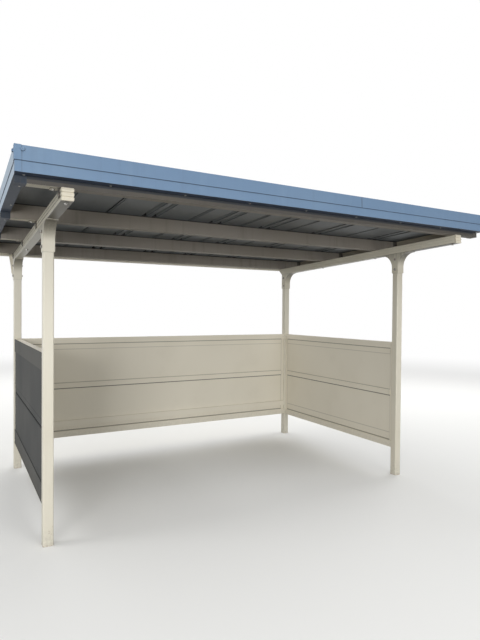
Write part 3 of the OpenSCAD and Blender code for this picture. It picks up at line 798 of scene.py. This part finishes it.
def post_centres():
    for front_back in ("front", "back"):
        for side in SIDES:
            low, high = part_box("post_%s_%s" % (front_back, side))
            yield front_back, side, (low.x + high.x) / 2, (low.y + high.y) / 2


def head_bolt_places():
    """Two bolts through each post head, with a head on either face."""
    for front_back, side, x, y in post_centres():
        low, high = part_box("post_head_%s_%s" % (front_back, side))
        top = on_roof(x, (ROOF_BACK @ Vector((x, y, high.z))).y, 0).z
        for drop in HEAD_BOLT_DROPS:
            yield Vector((low.x, y, top - drop)), -ACROSS
            yield Vector((high.x, y, top - drop)), ACROSS


def arm_bolt_places():
    """One bolt up through each arm into each purlin but the last, where the arm is cut off."""
    for side in SIDES:
        arm_low, arm_high = roof_box("arm_" + side)
        x = (arm_low.x + arm_high.x) / 2
        for purlin in PURLINS[:-1]:
            low, _ = roof_box(purlin)
            yield on_roof(x, low.y + ARM_BOLT_IN, 0), -ROOF_UP


def cleats():
    """Angle cleats between each purlin and the outer face of each arm, and their bolts."""
    plates, bolts = [], []
    for side, out in zip(SIDES, (-ACROSS, ACROSS)):
        arm_low, arm_high = roof_box("arm_" + side)
        face_x = arm_low.x if side == "left" else arm_high.x
        for purlin in PURLINS:
            low, _ = roof_box(purlin)
            s = low.y + (BACK_BOLT_IN if purlin == "purlin_back" else ARM_BOLT_IN)
            corner = on_roof(face_x, s, low.z)
            sizes = (CLEAT_W, CLEAT_OUT, CLEAT_DROP, CLEAT_T)
            plates.append(angle_plate(corner, ROOF_ALONG, out, -ROOF_UP, *sizes))
            bolts.append((corner + out * CLEAT_BOLT_OUT - ROOF_UP * CLEAT_T, -ROOF_UP))
            bolts.append((corner + out * CLEAT_T - ROOF_UP * CLEAT_BOLT_DROP, out))
    return plates, bolts


def end_cap(purlin, near_x, far_x):
    """Angle over the front and the underside of a purlin end, between two places across."""
    low, high = roof_box(purlin)
    lift = CAP_T + CAP_CLEAR
    corner = on_roof((near_x + far_x) / 2, low.y - lift, low.z - lift)
    sizes = (abs(far_x - near_x), high.y - low.y + lift, high.z - low.z, CAP_T)
    return angle_plate(corner, ACROSS, ROOF_ALONG, ROOF_UP, *sizes)


def end_caps(side):
    """Caps over the purlin ends of one side, from the inner edge of the roof edge's return to the
    upturned deck edge."""
    sign = -1 if side == "left" else 1
    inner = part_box("roof_corner_caps")[1].x - RETURN_W
    outer = roof_box("deck_sheet_6")[1].x - CAP_SLOT[side]
    return [end_cap(purlin, sign * inner, sign * outer) for purlin in PURLINS]


def seal_paths():
    """Rings round the posts at the lower ends of the post heads, with four points on each corner."""
    for front_back, side, _, _ in post_centres():
        low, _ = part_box("post_head_%s_%s" % (front_back, side))
        post_low, post_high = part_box("post_%s_%s" % (front_back, side))
        r = SEAL_CORNER
        ring = []
        for corner_x, corner_y, start in ((1, 1, 0), (-1, 1, 90), (-1, -1, 180), (1, -1, 270)):
            x = post_high.x - r if corner_x > 0 else post_low.x + r
            y = post_high.y - r if corner_y > 0 else post_low.y + r
            for step in range(4):
                angle = math.radians(start + step * 30)
                ring.append(Vector((x + r * math.cos(angle), y + r * math.sin(angle), low.z)))
        yield ring + ring[:1]


def spread(low, high, pitch):
    """Evenly spaced places from low to high, about pitch apart, ends included."""
    count = max(1, round((high - low) / pitch))
    return [low + (high - low) * i / count for i in range(count + 1)]


def roof_edge_screws():
    """Rivets under the roof edge near its inner side, in front and at both sides."""
    low, high = roof_box("roof_corner_caps")
    soffit_n = roof_box("fascia_front_lower")[0].z
    front = low.y + SOFFIT_SCREW_IN
    inner = high.x - SOFFIT_SCREW_IN
    for x in (-inner, inner):
        rest = spread(front + SOFFIT_SCREW_STEP, roof_box("rain_gutter")[0].y, SOFFIT_SCREW_PITCH)
        for s in [front] + rest:
            yield on_roof(x, s, soffit_n), -ROOF_UP
    for x in spread(-inner, inner, SOFFIT_SCREW_PITCH)[1:-1]:
        yield on_roof(x, front, soffit_n), -ROOF_UP


def corner_screws():
    """Dome screws on the upper band, two at each corner of the roof edge."""
    low, high = roof_box("roof_corner_caps")
    front_low, front_high = roof_box("fascia_front_upper")
    back_s = roof_box("fascia_back_upper")[1].y
    side_x = roof_box("fascia_right_upper")[1].x
    n = front_high.z - CORNER_SCREW_DROP
    for side in (-1, 1):
        x = side * (high.x - CORNER_SCREW_IN)
        yield on_roof(x, front_low.y, n), -ROOF_ALONG
        yield on_roof(x, back_s, n), ROOF_ALONG
        for s in (low.y + CORNER_SCREW_IN, high.y - CORNER_SCREW_IN):
            yield on_roof(side * side_x, s, n), ACROSS * side


def return_rivets():
    """Rivets along the return over the roof edge."""
    low, high = roof_box("roof_corner_caps")
    n = roof_box("fascia_front_upper")[1].z
    start = RETURN_RIVET_START
    for side in (-1, 1):
        for s in spread(low.y + start, high.y - start, RETURN_RIVET_PITCH):
            yield on_roof(side * (high.x - RETURN_RIVET_IN), s, n), ROOF_UP
    for s in (low.y + RETURN_RIVET_IN, high.y - RETURN_RIVET_IN):
        for x in spread(low.x + start, high.x - start, RETURN_RIVET_PITCH):
            yield on_roof(x, s, n), ROOF_UP


def deck_screws():
    """Hexagon screws down through the flats of the deck into each purlin."""
    for sheet in DECK_SHEETS:
        low, high = roof_box(sheet)
        middle = (low.x + high.x) / 2
        for purlin in PURLINS:
            front, back = roof_box(purlin)
            for x in (middle, middle - DECK_SCREW_PITCH, middle + DECK_SCREW_PITCH):
                yield on_roof(x, (front.y + back.y) / 2, DECK_FLAT + DECK_T), ROOF_UP


def wall_rivets():
    """Rivets through the end channels of the walls into the ends of the rails, on both faces."""
    for wall, out in WALL_OUT.items():
        low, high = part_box(wall + "_wall_top_rail")
        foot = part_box(wall + "_wall_bottom_rail")[0].z
        middle = (low + high) / 2
        along = Vector((abs(out.y), abs(out.x), 0))
        reach = along * (along.dot(high - low) / 2 - RAIL_RIVET_IN)
        half = out * abs(out.dot(high - low) / 2)
        for end in (-1, 1):
            for z in (high.z - RAIL_RIVET_DROP, foot + RAIL_RIVET_LIFT):
                for face in (1, -1):
                    place = middle + reach * end + half * face
                    yield Vector((place.x, place.y, z)), out * face


# Dressing

def dress(node, material):
    for slot in NODES[node].material_slots:
        slot.material = material


def dress_frame():
    post_paint = cream_paint("cream paint on the posts", foot=(0.0, POST_SPLASH_TOP), feet_rust=True,
                             gloss=0.34)
    # The frame, the arms and the post heads get painted shade on their undersides; on the arms it thins out
    # behind the front posts.
    frame_paint = cream_paint("cream paint on the frame", gloss=0.38, under=0.55)
    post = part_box("post_front_left")[0].y
    arm_paint = cream_paint("cream paint on the arms", gloss=0.38, under=0.95,
                            shade_fade=(post, post + ARM_SHADE_REACH))
    # The post heads also get painted shade towards their tops, broken into runs.
    head_low, head_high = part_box("post_head_front_left")
    head_paint = cream_paint("streaked cream paint on the post heads", gloss=0.38, dirt=2.4, under=0.65,
                             crown=(head_low.z + TOP_SHADE_LIFT, head_high.z))
    for front_back, side, _, _ in post_centres():
        dress("post_%s_%s" % (front_back, side), post_paint)
        dress("post_head_%s_%s" % (front_back, side), head_paint)
    for side in SIDES:
        dress("arm_" + side, arm_paint)
    primer = purlin_coat("taupe coat on the purlins", TAUPE)
    for node in PURLINS[1:]:
        dress(node, primer)
    # The front purlin takes the taupe with painted shade, darkest behind the roof edge.
    dress("purlin_front", purlin_coat("dark taupe coat on the front purlin", TAUPE_SHADED, shaded=True))
    dress("arm_end_caps", cream_paint("cream arm caps", color=CREAM_WARM, gloss=0.42))
    dress("rain_gutter", cream_paint("weathered cream paint on the gutter", color=CREAM_WARM, dirt=2.2))
    return frame_paint


def dress_roof():
    coating = deck_coating()
    for sheet in DECK_SHEETS:
        dress(sheet, coating)
    band = blue_paint("blue-grey paint on the roof edge")
    # The paler left edge is painted light.
    lit_band = blue_paint("chalked blue-grey paint on the left edge", BLUE_GREY_LIT, chalk=0.2)
    for side, paint in (("front", band), ("right", band), ("back", band), ("left", lit_band)):
        dress("fascia_%s_upper" % side, paint)
        dress("fascia_%s_lower" % side, paint)
    dress("fascia_front_upper", blue_paint("blue-grey paint on the front edge", joint=joint_place()))
    dress("roof_corner_caps", blue_paint("blue-grey corner caps", chalk=0.15, gloss=0.44))
    return band


def wall_joints():
    """(foot, height, strength) of each dark line across a wall, from the top down."""
    upper_low, upper_high = (corner.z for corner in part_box("back_wall_upper_panel"))
    lower_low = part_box("back_wall_lower_panel")[0].z
    return (
        (upper_high - 0.007, 0.007, 0.60),
        (upper_high - STRIP_H - 0.005, 0.005, 0.25),
        (upper_low + LEDGE_H, 0.005, 0.45),
        (upper_low - 0.008, 0.008, 0.80),
        (lower_low, 0.008, 0.62),
        (lower_low + FOOT_LINE_H, 0.006, 0.28),
    )


def dress_walls():
    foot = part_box("back_wall_bottom_rail")[0].z
    # Painted shade darkens the outer faces of the side walls, on the panels and on the rails.
    panels = cream_paint("pale paint on the panels", CREAM_PALE, wave=PANEL_DENT, seams=wall_joints(),
                         foot=(foot, PANEL_SPLASH_TOP), dirt=0.5, outer_shade=0.97)
    rails = cream_paint("pale paint on the rails", CREAM_PALE, foot=(foot, foot + RAIL_SPLASH_H),
                        dirt=0.5, outer_shade=0.93)
    for wall in WALL_OUT:
        dress(wall + "_wall_upper_panel", panels)
        dress(wall + "_wall_lower_panel", panels)
        dress(wall + "_wall_top_rail", rails)
        dress(wall + "_wall_bottom_rail", rails)
    dress("wall_end_channels", rails)
    dress("back_wall_inner_rail", rails)


def plated(name, parts, material):
    piece = joined(name, parts)
    piece.data.materials.append(material)
    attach(piece, BODY)


def add_fixings(frame_paint, band_paint):
    zinc = zinc_plate()
    # The cleats and the right purlin end caps take the taupe with painted shade, and the left purlin end
    # caps a dark blue-grey that is painted shade.
    shaded_coat = purlin_coat("dark taupe coat on the cleats", TAUPE_SHADED)
    hexagon, dome = fixing_tree(HEX_SIDES), fixing_tree(ROUND_SIDES)
    plates, cleat_bolts = cleats()
    shade = blue_paint("dark blue-grey on the left purlin ends", color=CAP_SHADE, chalk=0.05)
    plated("purlin_cleats", plates, shaded_coat)
    plated("left_purlin_end_caps", end_caps("left"), shade)
    plated("right_purlin_end_caps", end_caps("right"), shaded_coat)
    fixings("cleat_bolts", cleat_bolts, hexagon, SMALL_BOLT, zinc)
    fixings("head_bolts", list(head_bolt_places()), hexagon, HEX_BOLT, zinc)
    fixings("arm_bolts", list(arm_bolt_places()), hexagon, HEX_BOLT, zinc)
    fixings("deck_screws", list(deck_screws()), hexagon, SMALL_BOLT, zinc)
    fixings("roof_edge_screws", list(roof_edge_screws()), dome, SOFFIT_SCREW, zinc)
    fixings("corner_screws", list(corner_screws()), dome, DOME_SCREW, band_paint)
    fixings("return_rivets", list(return_rivets()), dome, RIVET, band_paint)
    fixings("wall_rivets", list(wall_rivets()), dome, RIVET, frame_paint)
    bead_sizes = {"Bead radius": SEAL_RADIUS, "Step": SEAL_STEP}
    beads("head_seals", list(seal_paths()), bead_tree(), bead_sizes, frame_paint)


# Stage

def seen_straight(sheet, kinds):
    """1 on camera rays and on rays of the given kinds, to which the studio is plain white."""
    rays = sheet.add("ShaderNodeLightPath")
    seen = Field(sheet, rays.outputs["Is Camera Ray"])
    for kind in kinds:
        seen = seen.math("MAXIMUM", seen, rays.outputs[kind])
    return seen


def stage_floor():
    """Pale floor that keeps the object's shadow, fades to white far off, and sends little light back
    up under the roof."""
    s = Surface("pale floor")
    seen = seen_straight(s, ["Is Glossy Ray"])
    plain = s.add("ShaderNodeBsdfDiffuse", None, {"Color": FLOOR_PALE})
    dull = s.add("ShaderNodeBsdfDiffuse", None, {"Color": FLOOR_DULL})
    white = s.add("ShaderNodeEmission", None, {"Color": (1, 1, 1, 1), "Strength": 1.0})
    distance = (s.x * s.x + s.y * s.y) ** 0.5
    pale = s.add("ShaderNodeMixShader", None, {0: distance.above(*FLOOR_FADE), 1: plain, 2: white})
    blend = s.add("ShaderNodeMixShader", None, {0: seen, 1: dull, 2: pale})
    s.add("ShaderNodeOutputMaterial", None, {"Surface": blend})
    r = FLOOR_REACH
    floor = mesh_object("floor", [(-r, -r, 0), (r, -r, 0), (r, r, 0), (-r, r, 0)], [(0, 1, 2, 3)])
    floor.data.materials.append(s.material)


def stage_sky():
    """White to the eye; its light is soft, and dim near the horizon."""
    world = bpy.data.worlds.new("studio")
    bpy.context.scene.world = world
    world.use_nodes = True
    sheet = Sheet(world.node_tree)
    seen = seen_straight(sheet, ["Is Glossy Ray", "Is Transmission Ray"])
    compass = sheet.add("ShaderNodeTexCoord").outputs["Generated"]
    height = Field(sheet, sheet.add("ShaderNodeSeparateXYZ", None, {"Vector": compass}).outputs["Z"])
    dome = height.above(0.0, SKY_FULL) * (SKY_LEVEL - SKY_LOW) + SKY_LOW
    strength = seen + (1.0 - seen) * dome
    glow = sheet.add("ShaderNodeBackground", None, {"Color": (1, 1, 1, 1), "Strength": strength})
    sheet.add("ShaderNodeOutputWorld", None, {"Surface": glow})


def stage_lamps():
    """Large soft lamps that look at the middle of the shelter."""
    for name, (place, size, power) in LAMPS.items():
        lamp = bpy.data.lights.new(name, "AREA")
        lamp.size = size
        lamp.energy = power
        item = bpy.data.objects.new(name, lamp)
        item.location = place
        item.rotation_euler = (Vector((0, 0, LAMP_AIM)) - Vector(place)).to_track_quat("-Z", "Y").to_euler()
        bpy.context.scene.collection.objects.link(item)


def stage_camera():
    low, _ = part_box("post_front_left")
    lens = bpy.data.cameras.new("camera")
    lens.lens = VIEW_LENS
    lens.sensor_width = VIEW_SENSOR
    camera = bpy.data.objects.new("camera", lens)
    bpy.context.scene.collection.objects.link(camera)
    place = Vector((low.x - VIEW_SIDE, low.y - VIEW_BACK, VIEW_HEIGHT))
    turn = Matrix.Rotation(-VIEW_TURN, 4, "Z") @ Matrix.Rotation(math.pi / 2 - VIEW_DIP, 4, "X")
    camera.matrix_world = Matrix.Translation(place) @ turn @ Matrix.Rotation(VIEW_ROLL, 4, "Z")
    bpy.context.scene.camera = camera
    bpy.context.scene.view_settings.view_transform = "Standard"


cream = dress_frame()
blue = dress_roof()
dress_walls()
add_fixings(cream, blue)
stage_floor()
stage_sky()
stage_lamps()
stage_camera()
